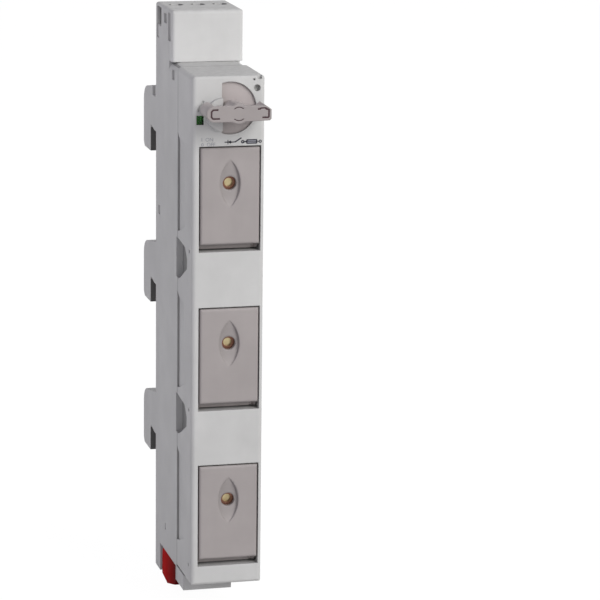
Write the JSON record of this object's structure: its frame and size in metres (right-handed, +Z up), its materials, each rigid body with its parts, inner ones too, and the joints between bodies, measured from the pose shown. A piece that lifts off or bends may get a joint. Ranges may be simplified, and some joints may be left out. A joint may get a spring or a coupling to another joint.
{
  "type": "fuse switch disconnector",
  "caption": "Narrow upright fuse switch disconnector with hooks for busbars behind, pull-out fuse carriers, a turning lever switch, cage terminals and a red latch below.",
  "frame": {"origin": "on the back plane of the body, where the face of the middle busbar rests, level with that busbar's upper edge", "axes": "+X to the right seen from the front, +Y to the back where the hooks reach over the busbars, +Z up"},
  "size_m": [0.027, 0.1038, 0.2254],
  "materials": {
    "housing": "fine satin",
    "grey": "satin",
    "inner_white": "satin",
    "red": "satin",
    "green": "satin",
    "clear": "clear",
    "copper": "satin copper",
    "brass": "satin",
    "steel": "zinc plated",
    "ceramic": "glazed"
  },
  "bodies": {
    "housing": {"rear_housing": "housing", "front_cover": "housing", "indicator_window": "clear", "base_contact_1": "copper", "base_contact_2": "copper", "base_contact_3": "copper", "busbar_contact_1": "copper", "busbar_contact_2": "copper", "busbar_contact_3": "copper", "hook_spring_1": "steel", "hook_spring_2": "steel", "hook_spring_3": "steel", "load_conductor_1": "copper", "load_conductor_2": "copper", "load_conductor_3": "copper", "gauge_ring_1": "ceramic", "gauge_ring_2": "ceramic", "gauge_ring_3": "ceramic", "latch_spring": "steel"},
    "switch_lever": {"handle": "grey", "drive_pinion": "inner_white"},
    "bar": {"switch_bar": "inner_white", "flag_green": "green", "flag_red": "red", "contact_bridge_1": "copper", "contact_bridge_2": "copper", "contact_bridge_3": "copper", "bridge_spring_1": "steel", "bridge_spring_2": "steel", "bridge_spring_3": "steel"},
    "terminal_lid": {"terminal_cover": "housing"},
    "release": {"latch": "red"},
    "carrier_1": {"fuse_carrier_1": "grey", "carrier_contact_1": "brass", "fuse_body_1": "ceramic", "front_cap_1": "brass", "foot_cap_1": "brass"},
    "carrier_2": {"fuse_carrier_2": "grey", "carrier_contact_2": "brass", "fuse_body_2": "ceramic", "front_cap_2": "brass", "foot_cap_2": "brass"},
    "carrier_3": {"fuse_carrier_3": "grey", "carrier_contact_3": "brass", "fuse_body_3": "ceramic", "front_cap_3": "brass", "foot_cap_3": "brass"},
    "screw_1": {"terminal_screw_1": "steel"},
    "cage_1": {"terminal_cage_1": "steel"},
    "screw_2": {"terminal_screw_2": "steel"},
    "cage_2": {"terminal_cage_2": "steel"},
    "screw_3": {"terminal_screw_3": "steel"},
    "cage_3": {"terminal_cage_3": "steel"}
  },
  "joints": [
    {"name": "handle_turn", "type": "hinge", "parent": "housing", "child": "switch_lever", "pos_m": [0.0006, -0.07, 0.079], "axis": [0, 1, 0], "range_deg": [0, 90]},
    {"name": "bar_slide", "type": "slide", "parent": "housing", "child": "bar", "axis": [0, 0, 1], "range_m": [0, 0.00566]},
    {"name": "terminal_lid_pull", "type": "slide", "parent": "housing", "child": "terminal_lid", "axis": [0, -1, 0], "range_m": [0, 0.012]},
    {"name": "latch_pull", "type": "slide", "parent": "housing", "child": "release", "axis": [0, 0, -1], "range_m": [0, 0.004], "stiffness_N_per_m": 500, "springref_m": -0.003, "deforming": ["latch_spring"]},
    {"name": "carrier_pull_1", "type": "slide", "parent": "housing", "child": "carrier_1", "axis": [0, -1, 0], "range_m": [0, 0.042]},
    {"name": "carrier_pull_2", "type": "slide", "parent": "housing", "child": "carrier_2", "axis": [0, -1, 0], "range_m": [0, 0.042]},
    {"name": "carrier_pull_3", "type": "slide", "parent": "housing", "child": "carrier_3", "axis": [0, -1, 0], "range_m": [0, 0.042]},
    {"name": "screw_turn_1", "type": "hinge", "parent": "housing", "child": "screw_1", "pos_m": [-0.0084, -0.024, 0.0998], "axis": [0, 1, 0], "range_deg": [0, 1800]},
    {"name": "cage_slide_1", "type": "slide", "parent": "housing", "child": "cage_1", "axis": [0, -1, 0], "range_m": [0, 0.004]},
    {"name": "screw_turn_2", "type": "hinge", "parent": "housing", "child": "screw_2", "pos_m": [0, -0.024, 0.0998], "axis": [0, 1, 0], "range_deg": [0, 1800]},
    {"name": "cage_slide_2", "type": "slide", "parent": "housing", "child": "cage_2", "axis": [0, -1, 0], "range_m": [0, 0.004]},
    {"name": "screw_turn_3", "type": "hinge", "parent": "housing", "child": "screw_3", "pos_m": [0.0084, -0.024, 0.0998], "axis": [0, 1, 0], "range_deg": [0, 1800]},
    {"name": "cage_slide_3", "type": "slide", "parent": "housing", "child": "cage_3", "axis": [0, -1, 0], "range_m": [0, 0.004]}
  ],
  "couplings": [
    {"joint": "bar_slide", "follows": "handle_turn", "m_per_rad": 0.0036},
    {"joint": "screw_turn_1", "follows": "cage_slide_1", "rad_per_m": 7854},
    {"joint": "screw_turn_2", "follows": "cage_slide_2", "rad_per_m": 7854},
    {"joint": "screw_turn_3", "follows": "cage_slide_3", "rad_per_m": 7854}
  ]
}
